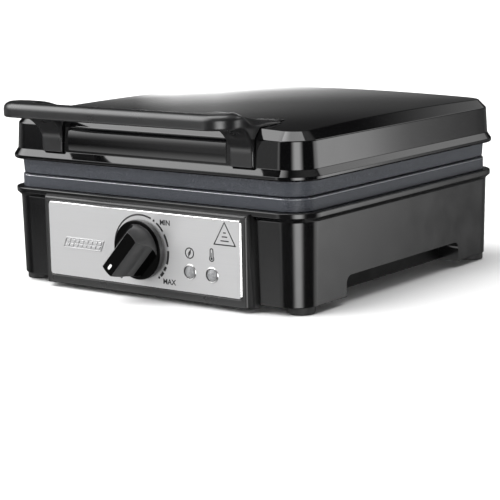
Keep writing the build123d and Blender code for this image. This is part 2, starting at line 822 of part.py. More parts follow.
def thermal_fuse():
    """Cut-out cartridge with its clip, under the lower plate."""
    z = lower_back - 2.6
    cartridge = rod((50, 20, z), (50, 42, z), 2.4)
    strap = block((45, 55), (28, 34), (z - 3.2, lower_back - 0.1))
    return cartridge + strap


def wire(points, bend=10):
    route = FilletPolyline(*points, radius=bend)
    return sweep((route ^ 0) * Circle(1.3), path=route)


def internal_wires():
    mains = wire([(29, 97, 14), (29, 84, 14), (70, 60, 26), (70, -70, 26), (16, -104, 32),
                  (16, -112.6, 32)], 9)
    heater = wire([(45, 97, 14), (45, 86, 14), (52, 70, 30), (24, 88, 34.6), (18.5, 96, 34.6)], 4)
    back = wire([(-16, -112.6, 32), (-16, -104, 32), (-70, -70, 26), (-70, 60, 26), (-24, 92, 34.6),
                 (-18.5, 96, 34.6)], 9)
    return [mains, heater, back]


def main():
    save("base_housing", base_housing())
    save("base_bottom_cover", bottom_cover())
    save("rubber_feet", *rubber_feet())
    save("cover_screws", *cover_screws())
    save("control_box", control_box())
    save("control_panel_plate", control_panel_plate())
    save("lamp_bezels", *lamp_bezels())
    save("lamp_lenses", *lamp_lenses())
    save("lamp_bodies", *lamp_bodies())
    save("thermostat_bracket", thermostat_bracket())
    save("thermostat_bushing", thermostat_bushing())
    save("thermostat_nut", thermostat_nut())
    save("thermostat_body", thermostat_body())
    save("thermostat_sensor", thermostat_sensor())
    save("thermostat_shaft", thermostat_shaft())
    save("control_knob", control_knob())
    save("knob_pointer_mark", knob_pointer_mark())
    save("knob_spring_clip", knob_spring_clip())
    save("lower_waffle_plate", lower_waffle_plate())
    save("upper_waffle_plate", upper_waffle_plate())
    save("lower_heating_element", element_tube(lower_back - element_radius - 0.1))
    save("upper_heating_element", element_tube(upper_back + element_radius + 0.1))
    save("lower_element_terminals", *element_terminals(lower_back - element_radius - 0.1, 36))
    save("upper_element_terminals", *element_terminals(upper_back + element_radius + 0.1, 119))
    save("lower_heat_reflector", heat_tray(62.0, lower_back - lower_post - 0.8))
    save("upper_heat_reflector", heat_tray(104.0, upper_back + upper_post + 0.8))
    save("lower_plate_screws", *plate_screws(lower_back - lower_post - 2.8, lower_back - 3))
    save("upper_plate_screws", *plate_screws(upper_back + upper_post + 2.8, upper_back + 3))
    save("lid_cover", lid_cover())
    save("lid_front_panel", lid_front_panel())
    save("handle", handle())
    save("handle_screws", *handle_screws())
    save("hinge_brackets", *hinge_brackets())
    save("lid_hinge_arms", *lid_hinge_arms())
    save("hinge_pins", *hinge_pins())
    save("hinge_bracket_screws", *hinge_bracket_screws())
    save("hinge_arm_screws", *hinge_arm_screws())
    save("cord_gland", cord_gland())
    save("terminal_block", terminal_block())
    save("thermal_fuse", thermal_fuse())
    save("internal_wires", *internal_wires())


main()
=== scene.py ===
"""Waffle maker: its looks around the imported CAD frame.

Metres, +X to the right of the front, +Y to the back, +Z up, the floor at Z = 0.
"""

import json
import math

import bmesh
import bpy
from mathutils import Matrix, Vector


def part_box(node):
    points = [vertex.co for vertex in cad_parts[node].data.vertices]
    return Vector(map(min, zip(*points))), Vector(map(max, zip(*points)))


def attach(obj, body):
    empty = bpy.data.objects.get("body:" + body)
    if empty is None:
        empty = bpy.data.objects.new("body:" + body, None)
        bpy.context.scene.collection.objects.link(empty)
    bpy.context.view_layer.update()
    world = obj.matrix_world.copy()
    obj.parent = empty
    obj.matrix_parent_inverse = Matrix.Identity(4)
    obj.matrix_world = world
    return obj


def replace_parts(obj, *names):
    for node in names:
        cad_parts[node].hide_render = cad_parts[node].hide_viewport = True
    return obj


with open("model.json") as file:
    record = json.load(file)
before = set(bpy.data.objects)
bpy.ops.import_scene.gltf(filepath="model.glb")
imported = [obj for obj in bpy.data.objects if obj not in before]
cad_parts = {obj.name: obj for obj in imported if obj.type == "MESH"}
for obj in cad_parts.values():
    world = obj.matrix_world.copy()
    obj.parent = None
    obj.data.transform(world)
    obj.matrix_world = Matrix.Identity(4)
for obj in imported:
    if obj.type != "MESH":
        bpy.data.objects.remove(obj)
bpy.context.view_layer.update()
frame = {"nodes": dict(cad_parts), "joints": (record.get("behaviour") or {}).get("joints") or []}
nodes = frame["nodes"]
joints = {joint["name"]: joint for joint in frame["joints"]}

MM = 0.001
knob_axis = Vector(joints["knob_turn"]["pos_m"])
panel_low, panel_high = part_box("control_panel_plate")
panel_face = panel_low.y


# ------------------------------------------------------------------ camera, floor and light


def make_camera():
    """Seen from the front right and a little above, as a product shot."""
    azimuth, elevation, roll = (math.radians(angle) for angle in (36.84, 10.588, -1.076))
    distance = 1.388375
    target = Vector((-0.005406, 0.00945, 0.013896))
    right = Vector((math.cos(azimuth), math.sin(azimuth), 0))
    back = Vector((
        math.sin(azimuth) * math.cos(elevation),
        -math.cos(azimuth) * math.cos(elevation),
        math.sin(elevation),
    ))
    up = back.cross(right)
    side = right * math.cos(roll) + up * math.sin(roll)
    top = up * math.cos(roll) - right * math.sin(roll)
    place = target + back * distance
    data = bpy.data.cameras.new("camera")
    data.sensor_width = 36.0
    data.lens = 126.02
    camera = bpy.data.objects.new("camera", data)
    axes = Matrix((side, top, back)).transposed()
    camera.matrix_world = Matrix.Translation(place) @ axes.to_4x4()
    bpy.context.scene.collection.objects.link(camera)
    bpy.context.scene.camera = camera


# Brightness of the horizon by direction: 0 and 1 are the left, 0.25 the front, 0.5 the right.
AROUND = (
    (0.00, 0.12), (0.09, 0.01), (0.130, 0.02), (0.144, 0.26), (0.163, 0.26), (0.180, 0.8),
    (0.205, 0.01), (0.562, 0.01), (0.598, 1.0), (0.655, 1.35), (0.6615, 0.30), (0.669, 0.11),
    (0.76, 0.1), (0.825, 0.16), (0.840, 0.45), (0.849, 0.75), (0.856, 1.5), (0.8605, 1.2),
    (0.8635, 0.3), (0.870, 0.06), (0.93, 0.1), (1.00, 0.15),
)
# Brightness by height: 0 is straight down, 0.5 the horizon.
UPWARDS = (
    (0.0, 0.3), (0.28, 0.3), (0.375, 0.4), (0.40, 0.62), (0.43, 1.0), (0.5, 1.0),
    (0.512, 0.9), (0.53, 0.26), (0.56, 0.08), (0.6, 0.012), (1.0, 0.0),
)
HORIZON_LEVEL = 2.4
# Upright strip light at the front right, seen in the rounded front corner.
STRIP_AROUND = ((0.0, 0.0), (0.311, 0.0), (0.368, 1.0), (0.398, 1.0), (0.456, 0.0), (1.0, 0.0))
STRIP_UPWARDS = ((0.0, 0.0), (0.28, 0.0), (0.4, 1.0), (0.58, 1.0), (0.66, 0.0), (1.0, 0.0))
STRIP_LEVEL = 7.0
# Soft round panels: azimuth, elevation, inner and outer radius in degrees, brightness.
SPOTS = (
    (-142.0, 40.0, 8.0, 44.0, 5.5),
    (-130.0, -28.0, 6.0, 18.0, 1.8),
    (64.0, 27.0, 4.0, 12.0, 1.8),
    (84.0, 24.0, 2.0, 9.0, 0.9),
    (35.0, 70.0, 10.0, 45.0, 0.5),
)
EVERYWHERE_LEVEL = 0.012


def direction_ramp(tree, value, stops):
    """Grey ramp over a value from 0 to 1."""
    made = tree.nodes.new("ShaderNodeValToRGB")
    tree.links.new(value, made.inputs["Fac"])
    ramp = made.color_ramp
    ramp.interpolation = "EASE"
    while len(ramp.elements) < len(stops):
        ramp.elements.new(0.5)
    for element, (at, grey) in zip(ramp.elements, stops):
        element.position = at
        element.color = (grey, grey, grey, 1)
    return made.outputs["Color"]


def world_math(tree, operation, first, second):
    """Result of a calculation on two values, each a number or a node's output."""
    made = tree.nodes.new("ShaderNodeMath")
    made.operation = operation
    for socket, value in zip(made.inputs, (first, second)):
        if isinstance(value, float):
            socket.default_value = value
        else:
            tree.links.new(value, socket)
    return made.outputs[0]


def bright_spot(tree, direction, spot):
    """Round soft panel far away, from its azimuth and elevation, two radii and its brightness."""
    azimuth, elevation, inner, outer, level = spot
    azimuth, elevation = math.radians(azimuth), math.radians(elevation)
    towards = tree.nodes.new("ShaderNodeVectorMath")
    towards.operation = "DOT_PRODUCT"
    tree.links.new(direction, towards.inputs[0])
    towards.inputs[1].default_value = (
        math.cos(azimuth) * math.cos(elevation),
        math.sin(azimuth) * math.cos(elevation),
        math.sin(elevation),
    )
    fade = tree.nodes.new("ShaderNodeMapRange")
    fade.interpolation_type = "SMOOTHSTEP"
    fade.inputs["From Min"].default_value = math.cos(math.radians(outer))
    fade.inputs["From Max"].default_value = math.cos(math.radians(inner))
    fade.inputs["To Max"].default_value = level
    tree.links.new(towards.outputs["Value"], fade.inputs["Value"])
    return fade.outputs["Result"]


def make_world():
    """White horizon with black gaps, an upright strip light, and soft round panels."""
    world = bpy.data.worlds.new("studio")
    world.use_nodes = True
    tree = world.node_tree
    place = tree.nodes.new("ShaderNodeTexCoord")
    direction = place.outputs["Generated"]
    parts = tree.nodes.new("ShaderNodeSeparateXYZ")
    tree.links.new(direction, parts.inputs[0])
    turn = world_math(tree, "ARCTAN2", parts.outputs["Y"], parts.outputs["X"])
    turn = world_math(tree, "DIVIDE", turn, 2 * math.pi)
    turn = world_math(tree, "ADD", turn, 0.5)
    height = world_math(tree, "MULTIPLY", parts.outputs["Z"], 0.5)
    height = world_math(tree, "ADD", height, 0.5)
    bands = []
    for around, upwards, level in (
        (AROUND, UPWARDS, HORIZON_LEVEL),
        (STRIP_AROUND, STRIP_UPWARDS, STRIP_LEVEL),
    ):
        across = direction_ramp(tree, turn, around)
        band = world_math(tree, "MULTIPLY", across, direction_ramp(tree, height, upwards))
        bands.append(world_math(tree, "MULTIPLY", band, level))
    light = world_math(tree, "ADD", *bands)
    for spot in SPOTS:
        light = world_math(tree, "ADD", light, bright_spot(tree, direction, spot))
    light = world_math(tree, "ADD", light, EVERYWHERE_LEVEL)
    # The plain backdrop behind the floor is white to the eye, whatever it lights.
    seen = tree.nodes.new("ShaderNodeLightPath")
    light = world_math(tree, "ADD", light, seen.outputs["Is Camera Ray"])
    tree.links.new(light, tree.nodes["Background"].inputs["Color"])
    bpy.context.scene.world = world


def make_floor():
    """Pale floor that glossy surfaces don't mirror."""
    reach = 20.0
    mesh = bpy.data.meshes.new("floor")
    corners = [(x * reach, y * reach, 0) for x, y in ((-1, -1), (1, -1), (1, 1), (-1, 1))]
    mesh.from_pydata(corners, [], [(0, 1, 2, 3)])
    floor = bpy.data.objects.new("floor", mesh)
    paint = bpy.data.materials.new("pale_floor")
    paint.use_nodes = True
    shader = paint.node_tree.nodes["Principled BSDF"]
    shader.inputs["Base Color"].default_value = (0.86, 0.86, 0.86, 1)
    shader.inputs["Roughness"].default_value = 0.9
    shader.inputs["Specular IOR Level"].default_value = 0.1
    mesh.materials.append(paint)
    bpy.context.scene.collection.objects.link(floor)
    floor.visible_glossy = False


def make_lights():
    """Broad soft light from straight above."""
    overhead = bpy.data.lights.new("overhead", "SUN")
    overhead.energy = 2.2
    overhead.angle = math.radians(50)
    light = bpy.data.objects.new("overhead", overhead)
    bpy.context.scene.collection.objects.link(light)


# ------------------------------------------------------------------ materials


class Paint:
    """One procedural material: a principled shader and short ways to vary it."""

    def __init__(self, name, color, roughness, **sockets):
        self.material = bpy.data.materials.new(name)
        self.material.use_nodes = True
        self.tree = self.material.node_tree
        self.shader = self.tree.nodes["Principled BSDF"]
        self.shader.inputs["Base Color"].default_value = (*color, 1)
        self.shader.inputs["Roughness"].default_value = roughness
        for socket, value in sockets.items():
            self.shader.inputs[socket.replace("_", " ")].default_value = value
        self.bumps = None
        self.coords = self.tree.nodes.new("ShaderNodeTexCoord")

    def node(self, kind, **values):
        made = self.tree.nodes.new(kind)
        for name, value in values.items():
            made.inputs[name].default_value = value
        return made

    def noise(self, scale, detail=2.0, stretch=(1, 1, 1)):
        """Noise in the object's own metres, drawn out along the axes by stretch."""
        mapping = self.node("ShaderNodeMapping", Scale=stretch)
        self.tree.links.new(self.coords.outputs["Object"], mapping.inputs["Vector"])
        made = self.node("ShaderNodeTexNoise", Scale=scale, Detail=detail)
        self.tree.links.new(mapping.outputs["Vector"], made.inputs["Vector"])
        return made.outputs["Fac"]

    def spread(self, value, low, high, start=0.3, end=0.7):
        made = self.node("ShaderNodeMapRange")
        made.inputs["From Min"].default_value = start
        made.inputs["From Max"].default_value = end
        made.inputs["To Min"].default_value = low
        made.inputs["To Max"].default_value = high
        self.tree.links.new(value, made.inputs["Value"])
        return made.outputs["Result"]

    def vary_roughness(self, scale, low, high, stretch=(1, 1, 1)):
        self.tree.links.new(
            self.spread(self.noise(scale, 3.0, stretch), low, high),
            self.shader.inputs["Roughness"],
        )
        return self

    def vary_color(self, value, dark, light, start=0.3, end=0.7):
        ramp = self.tree.nodes.new("ShaderNodeValToRGB")
        ramp.color_ramp.elements[0].position = start
        ramp.color_ramp.elements[0].color = (*dark, 1)
        ramp.color_ramp.elements[1].position = end
        ramp.color_ramp.elements[1].color = (*light, 1)
        self.tree.links.new(value, ramp.inputs["Fac"])
        self.tree.links.new(ramp.outputs["Color"], self.shader.inputs["Base Color"])
        return self

    def grain(self, scale, depth, stretch=(1, 1, 1), detail=2.0):
        """Fine relief, depth in metres."""
        bump = self.node("ShaderNodeBump", Strength=1.0, Distance=depth)
        self.tree.links.new(self.noise(scale, detail, stretch), bump.inputs["Height"])
        if self.bumps:
            self.tree.links.new(self.bumps, bump.inputs["Normal"])
        self.bumps = bump.outputs["Normal"]
        self.tree.links.new(self.bumps, self.shader.inputs["Normal"])
        return self


def make_paints():
    """Every finish, by the name of the record's material slot or of a special case."""
    paints = {}

    def add(name, color, roughness, **sockets):
        paints[name] = Paint(name + "_finish", color, roughness, **sockets)
        return paints[name]

    black = add("black_plastic", (0.004, 0.004, 0.0042), 0.17)
    black.vary_roughness(60, 0.14, 0.19).grain(2600, 5e-7)
    box = add("box_plastic", (0.018, 0.018, 0.0183), 0.3)
    box.vary_roughness(60, 0.27, 0.33).grain(2600, 8e-7)
    # Near-black, dull copy of the plastic for the base recess's inner walls and the lamp rings'
    # inner sides: painted shade.
    shaded = add("painted_shade_plastic", (0.0015, 0.0015, 0.0016), 0.5, Specular_IOR_Level=0.1)
    shaded.vary_roughness(80, 0.45, 0.55).grain(900, 4e-6)
    gloss = add("gloss_black", (0.002, 0.002, 0.0022), 0.08)
    gloss.vary_roughness(45, 0.06, 0.08)
    # Near-black, flatter copy of the knob's paint for its forward faces: painted shade.
    knob_front_painted_shade = add("knob_front_painted_shade", (0.001, 0.001, 0.001), 0.3, Specular_IOR_Level=0.05)
    knob_front_painted_shade.vary_roughness(90, 0.27, 0.34).grain(2600, 4e-7)
    # Lighter grey knob paint for its other faces: a painted sheen on the flanks.
    knob = add("knob", (0.04, 0.04, 0.0404), 0.3, Specular_IOR_Level=0.6)
    knob.vary_roughness(90, 0.28, 0.36).grain(2600, 4e-7)
    satin = add("handle", (0.011, 0.011, 0.0115), 0.3, Specular_IOR_Level=0.6)
    satin.vary_roughness(70, 0.26, 0.33).grain(3400, 1.2e-6)
    steel = add("brushed_steel", (0.60, 0.60, 0.604), 0.5, Metallic=0.85)
    steel.vary_roughness(900, 0.46, 0.54, (0.02, 1, 1)).grain(4000, 6e-7, (0.02, 1, 1))
    edge = add("steel_edge", (0.95, 0.95, 0.95), 0.2, Metallic=1.0)
    edge.vary_roughness(500, 0.16, 0.24)
    sheet = add("sheet_steel", (0.55, 0.55, 0.56), 0.35, Metallic=1.0)
    sheet.vary_roughness(120, 0.28, 0.45).grain(300, 4e-6)
    screw = add("screw_steel", (0.5, 0.5, 0.51), 0.28, Metallic=1.0)
    screw.vary_roughness(400, 0.22, 0.36)
    heater = add("heater_steel", (0.16, 0.15, 0.145), 0.5, Metallic=1.0)
    heater.vary_color(heater.noise(90, 4), (0.09, 0.085, 0.08), (0.22, 0.2, 0.18))
    coat = add("coated_aluminium", (0.03, 0.032, 0.037), 0.4, Specular_IOR_Level=0.2)
    coat.vary_color(coat.noise(3200, 1.0), (0.022, 0.024, 0.029), (0.15, 0.16, 0.185), 0.45, 0.74)
    coat.grain(1500, 5e-6)
    # Bright metal for the line round the lower plate's top edge: a painted highlight.
    rim = add("plate_edge_painted_highlight", (0.7, 0.71, 0.73), 0.3, Metallic=0.9)
    rim.vary_color(rim.noise(500, 3), (0.6, 0.61, 0.63), (0.8, 0.81, 0.83))
    add("rubber", (0.02, 0.02, 0.02), 0.62).grain(900, 8e-6)
    lens = add("clear_lens", (0.30, 0.305, 0.31), 0.12, Transmission_Weight=0.2, IOR=1.49)
    lens.grain(700, 6e-6)
    brass = add("brass", (0.78, 0.55, 0.24), 0.3, Metallic=1.0)
    brass.vary_roughness(300, 0.22, 0.4)
    copper = add("copper", (0.8, 0.42, 0.28), 0.32, Metallic=1.0)
    copper.vary_roughness(300, 0.25, 0.42)
    ceramic = add("ceramic", (0.72, 0.69, 0.62), 0.45)
    ceramic.vary_color(ceramic.noise(200, 3), (0.66, 0.63, 0.56), (0.78, 0.76, 0.7))
    add("white_plastic", (0.8, 0.8, 0.8), 0.35).grain(1200, 4e-6)
    sleeve = add("wire_sleeve", (0.6, 0.58, 0.5), 0.7)
    sleeve.grain(2500, 2e-5)
    add("printing_ink", (0.012, 0.012, 0.012), 0.4).grain(3000, 2e-6)
    return {name: paint.material for name, paint in paints.items()}


# ------------------------------------------------------------------ mesh building


def make_piece(name, body, slot, paint, points, faces):
    """A mesh piece that rides on a body."""
    mesh = bpy.data.meshes.new(name)
    mesh.from_pydata([tuple(point) for point in points], [], faces)
    mesh.validate()
    mesh.materials.append(paint)
    piece = bpy.data.objects.new(name, mesh)
    bpy.context.scene.collection.objects.link(piece)
    turn_faces_out(mesh)
    mesh.shade_smooth()
    if body:
        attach(piece, body)
    return piece


def turn_faces_out(mesh):
    shape = bmesh.new()
    shape.from_mesh(mesh)
    bmesh.ops.recalc_face_normals(shape, faces=shape.faces)
    shape.to_mesh(mesh)
    shape.free()


def keep_flats_flat(piece):
    """Shade large flat faces flat and let the narrow rounded edges carry the turn."""
    normals = piece.modifiers.new("normals", "WEIGHTED_NORMAL")
    normals.weight = 100
    normals.keep_sharp = True


def round_corners(points, radii, steps=4):
    """Open line in two dimensions with its inner corners turned into arcs."""
    line = [Vector(points[0])]
    for before, corner, after, radius in zip(points, points[1:], points[2:], radii):
        corner = Vector(corner)
        towards_before = (Vector(before) - corner).normalized()
        towards_after = (Vector(after) - corner).normalized()
        half = towards_before.angle(towards_after) / 2
        reach = radius / math.tan(half)
        centre = corner + (towards_before + towards_after).normalized() * radius / math.sin(half)
        start = corner + towards_before * reach - centre
        end = corner + towards_after * reach - centre
        sweep = start.angle_signed(end)
        for step in range(steps + 1):
            turned = start.copy()
            turned.rotate(Matrix.Rotation(-sweep * step / steps, 2))
            line.append(centre + turned)
    line.append(Vector(points[-1]))
    return line


class Outline:
    """The rounded rectangle of the cooking plates, at any distance outside or inside their edge."""

    corner = 18.0 * MM
    least_corner = 2.0 * MM

    def __init__(self, corner_steps=14, side_steps=1):
        low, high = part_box("lower_waffle_plate")
        self.half = (high - low) / 2
        self.middle = (high + low) / 2
        self.places = []
        for quarter, (x, y) in enumerate(((1, 1), (-1, 1), (-1, -1), (1, -1))):
            for step in range(corner_steps + 1):
                angle = (quarter + step / corner_steps) * math.pi / 2
                self.places.append((x, y, angle, 0.0))
            self.places += [(x, y, angle, step / side_steps) for step in range(1, side_steps)]

    def corner_point(self, x, y, angle, offset):
        corner = max(self.corner + offset, self.least_corner)
        return Vector((
            self.middle.x + x * (self.half.x + offset - corner) + corner * math.cos(angle),
            self.middle.y + y * (self.half.y + offset - corner) + corner * math.sin(angle),
        ))

    def point(self, place, offset):
        x, y, angle, along = place
        point = self.corner_point(x, y, angle, offset)
        if along:
            point = point.lerp(self.corner_point(-y, x, angle, offset), along)
        return point

    def loop(self, offset, height):
        """Points at one offset. Height is a number, or a function of the point."""
        loop = []
        for place in self.places:
            point = self.point(place, offset)
            z = height(point) if callable(height) else height
            loop.append((point.x, point.y, z))
        return loop


def skin(loops, closed):
    """Points and faces of the surface through loops of equally many points."""
    count = len(loops[0])
    points = [point for loop in loops for point in loop]
    faces = []
    pairs = list(zip(range(len(loops)), range(1, len(loops))))
    if closed:
        pairs.append((len(loops) - 1, 0))
    for low, high in pairs:
        for index in range(count):
            after = (index + 1) % count
            faces.append((
                low * count + index, low * count + after,
                high * count + after, high * count + index,
            ))
    if not closed:
        faces.append(tuple(range(count)))
        faces.append(tuple(range(len(points) - count, len(points))))
    return points, faces


def add_shape(points, faces, shape):
    """Add another shape's points and faces to lists of points and faces."""
    start = len(points)
    more_points, more_faces = shape
    points += more_points
    faces += [tuple(start + index for index in face) for face in more_faces]


def combine(piece, others, operation):
    """Cut others out of a piece, or join them to it, and drop them."""
    for other in others:
        step = piece.modifiers.new("combine", "BOOLEAN")
        step.operation = operation
        step.solver = "EXACT"
        step.object = other
    settle(piece)
    for other in others:
        bpy.data.objects.remove(other)


def settle(piece):
    """Make the modifiers' result the piece's own mesh."""
    evaluated = piece.evaluated_get(bpy.context.evaluated_depsgraph_get())
    mesh = bpy.data.meshes.new_from_object(evaluated)
    piece.modifiers.clear()
    piece.data = mesh
    mesh.shade_smooth()


def bevel_edges(piece, radius, segments=3, angle=32):
    bevel = piece.modifiers.new("edges", "BEVEL")
    bevel.width = radius
    bevel.segments = segments
    bevel.limit_method = "ANGLE"
    bevel.angle_limit = math.radians(angle)
    bevel.miter_outer = "MITER_ARC"


def tool(loops):
    """Solid through loops, for cutting and joining. It is dropped after use."""
    return make_piece("tool", None, None, None, *skin(loops, closed=False))


def box_tool(low, high):
    """Block between two corners."""
    (x0, y0, z0), (x1, y1, z1) = low, high
    corners = ((x0, y0), (x1, y0), (x1, y1), (x0, y1))
    return tool([[(x, y, z) for x, y in corners] for z in (z0, z1)])


def rod_tool(start, end, radius, sides=48):
    """Round bar between two points."""
    way = (Vector(end) - Vector(start)).normalized()
    across = way.orthogonal().normalized()
    other = way.cross(across)
    loops = []
    for middle in (start, end):
        turns = [2 * math.pi * side / sides for side in range(sides)]
        loops.append([
            Vector(middle) + radius * (across * math.cos(turn) + other * math.sin(turn))
            for turn in turns
        ])
    return tool(loops)


# ------------------------------------------------------------------ lid shell


LID_LOW, LID_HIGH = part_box("lid_cover")
WALL = 2.5 * MM
# Radii of the arch on the lid's top, in metres.
CROWN_ACROSS = 2.76
CROWN_ALONG = 4.65


def crown_height(drop=0.0):
    """Top of the lid, arched to a large radius each way."""
    middle = Outline().middle
    top = LID_HIGH.z - drop

    def height(point):
        across = (point.x - middle.x) ** 2 / (2 * CROWN_ACROSS)
        along = (point.y - middle.y) ** 2 / (2 * CROWN_ALONG)
        return top - across - along

    return height


def lid_shell(paints):
    """Pressed lid: flange, drafted wall, slanted shoulder and arched top, 2.5 mm thick."""
    outline = Outline(corner_steps=16, side_steps=20)
    flange = LID_HIGH.x - outline.half.x
    foot = LID_LOW.z
    wall_low = (3.3 * MM, foot + 7.7 * MM)
    wall_high = (2.1 * MM, foot + 27.2 * MM)
    outer = [
        (-2.6 * MM, foot), (flange - 1 * MM, foot), (flange, foot + 1 * MM),
        (flange, foot + 3 * MM), wall_low, wall_high,
    ]
    outer_radii = [0.6 * MM, 0.6 * MM, 0.8 * MM, 1.0 * MM]
    inner = [
        (-0.4 * MM, foot + 26 * MM), (-0.9 * MM, foot + 7.7 * MM), (-0.9 * MM, foot + WALL),
        (-2.6 * MM, foot + WALL), (-2.6 * MM, foot),
    ]
    top = crown_height()
    under = crown_height(WALL)
    # From the shoulder's inner edge to near the middle, wider apart on the way.
    inset_loops = []
    under_loops = []
    shoulder_inset, last_inset, steps = 8.5 * MM, outline.half.y - 3 * MM, 14
    for step in range(1, steps + 1):
        share = (step / steps) ** 1.15
        inset = -shoulder_inset - (last_inset - shoulder_inset) * share
        inset_loops.append(outline.loop(inset, top))
        under_loops.append(outline.loop(inset, under))
    loops = under_loops[::-1]
    loops += [outline.loop(offset, z) for offset, z in inner]
    body = round_corners(outer, outer_radii)[1:-1]
    loops += [outline.loop(offset, z) for offset, z in body]
    shoulder_loops = shoulder(outline, wall_low, wall_high, top)
    loops += shoulder_loops + inset_loops
    shape = skin(loops, closed=False)
    piece = make_piece("lid_shell", "lid", "gloss_black", paints["gloss_black"], *shape)
    keep_flats_flat(piece)
    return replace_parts(piece, "lid_cover")


def shoulder(outline, wall_low, wall_high, top):
    """Loops over the lid's slanted shoulder, which meets the arched top at a varying height."""
    columns = []
    for place in outline.places:
        rise = 8.0 * MM
        for _ in range(4):
            point = outline.point(place, wall_high[0] - rise)
            rise = top(point) - wall_high[1]
        edge = (wall_high[0] - rise, wall_high[1] + rise)
        inner_point = outline.point(place, edge[0] - 3 * MM)
        inside = (edge[0] - 3 * MM, top(inner_point))
        column = round_corners([wall_low, wall_high, edge, inside], [1.6 * MM, 1.1 * MM], 5)
        columns.append([(*outline.point(place, offset), z) for offset, z in column[1:]])
    return [list(loop) for loop in zip(*columns)]


# ------------------------------------------------------------------ base shell


BASE_LOW, BASE_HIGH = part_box("base_housing")
BASE_WALL_TOP = BASE_LOW.z + 60.7 * MM


def base_side(outline, foot):
    """Outer side of the base, from a foot height up: offset from the plates' edge and height."""
    flange = BASE_HIGH.x - outline.half.x
    return [
        (1.0 * MM, foot), (2.2 * MM, BASE_WALL_TOP), (flange, BASE_WALL_TOP + 2.9 * MM),
        (flange, BASE_HIGH.z),
    ]


def base_shell(paints):
    """Moulded base: drafted wall, flared flange, and a hand recess low in each side."""
    outline = Outline(corner_steps=16)
    foot, top = BASE_LOW.z, BASE_HIGH.z
    profile = [(-1.5 * MM, foot)] + base_side(outline, foot)
    profile += [(-2.6 * MM, top), (-2.6 * MM, top - 5 * MM)]
    radii = [0.6 * MM, 1.6 * MM, 0.7 * MM, 0.9 * MM, 0.5 * MM]
    line = round_corners(profile, radii) + [
        (-0.3 * MM, top - 5 * MM), (-0.3 * MM, BASE_WALL_TOP),
    ]
    shape = skin([outline.loop(offset, z) for offset, z in line], closed=True)
    piece = make_piece("base_shell", "base", "black_plastic", paints["black_plastic"], *shape)
    middle = outline.middle.y
    recess_x = 118.5 * MM
    recess_y = 79.0 * MM
    recess_top = 21.0 * MM
    recess_corner = 6.0 * MM
    wall_x, beyond_x = 136.0 * MM, 160.0 * MM
    below_foot = -10.0 * MM
    for side in (1, -1):
        walls = recess(
            side, middle, recess_x - WALL, recess_y + WALL, recess_top + WALL, recess_corner + WALL,
            wall_x, foot,
        )
        combine(piece, [walls], "UNION")
        hollow = recess(
            side, middle, recess_x, recess_y, recess_top, recess_corner, beyond_x, below_foot
        )
        combine(piece, [hollow], "DIFFERENCE")
    # Opening behind the control box, and the hole for the cord's gland.
    window_low = (-76 * MM, middle - 140 * MM, 14 * MM)
    window_high = (76 * MM, middle - 128 * MM, 60 * MM)
    gland_low, gland_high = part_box("cord_gland")
    gland_z = (gland_low.z + gland_high.z) / 2
    bore = rod_tool((0, middle + 120 * MM, gland_z), (0, middle + 150 * MM, gland_z), 5 * MM)
    combine(piece, [box_tool(window_low, window_high), bore], "DIFFERENCE")
    # The recess's inner walls get the near-black plastic: painted shade where the recess lies in
    # shadow.
    piece.data.materials.append(paints["painted_shade_plastic"])
    for face in piece.data.polygons:
        x, y, z = face.center
        in_recess = abs(y - middle) < recess_y and z < recess_top
        if in_recess and abs(abs(x) - recess_x) < 0.2 * MM and abs(face.normal.x) > 0.9:
            face.material_index = 1
    bevel_edges(piece, 0.7 * MM)
    keep_flats_flat(piece)
    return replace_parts(piece, "base_housing")


def recess(side, middle, inner_x, half_y, top, corner, outer_x, foot):
    """Block with rounded upper corners, from an inner X out to an outer X."""
    steps = 8
    profile = [(-half_y, foot)]
    for end in (-1, 1):
        for step in range(steps + 1):
            angle = math.pi / 2 * (step / steps if end < 0 else 1 - step / steps)
            y = end * (half_y - corner + corner * math.cos(angle))
            profile.append((y, top - corner + corner * math.sin(angle)))
    profile.append((half_y, foot))
    return tool([[(side * x, middle + y, z) for y, z in profile] for x in (inner_x, outer_x)])


# ------------------------------------------------------------------ handle and knob


def worn(node, name, body, paint, voxel, smoothing, keep):
    """Copy of a CAD part with its edges rounded by a fine remesh. Keep is the share of faces."""
    mesh = nodes[node].data.copy()
    mesh.name = name
    piece = bpy.data.objects.new(name, mesh)
    bpy.context.scene.collection.objects.link(piece)
    weld = piece.modifiers.new("weld", "WELD")
    weld.merge_threshold = 1e-6
    remesh = piece.modifiers.new("remesh", "REMESH")
    remesh.mode = "VOXEL"
    remesh.voxel_size = voxel
    smooth = piece.modifiers.new("smooth", "SMOOTH")
    smooth.factor = 0.5
    smooth.iterations = smoothing
    thin = piece.modifiers.new("thin", "DECIMATE")
    thin.ratio = keep
    settle(piece)
    piece.data.materials.clear()
    piece.data.materials.append(paint)
    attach(piece, body)
    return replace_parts(piece, node)


def knob_shell(paints):
    """Knob painted lit and shaded: a near-black, flatter copy of its paint on the forward faces
    (painted shade), lighter grey on the rest (painted sheen).
    """
    piece = worn(
        "control_knob", "knob_shell", "knob", paints["knob"], 0.26 * MM, 4, 0.6
    )
    piece.data.materials.append(paints["knob_front_painted_shade"])
    # Faces that look forward get the near-black copy: painted shade.
    for face in piece.data.polygons:
        if face.normal.y < -0.6:
            face.material_index = 1
    return piece


# ------------------------------------------------------------------ control box and panel


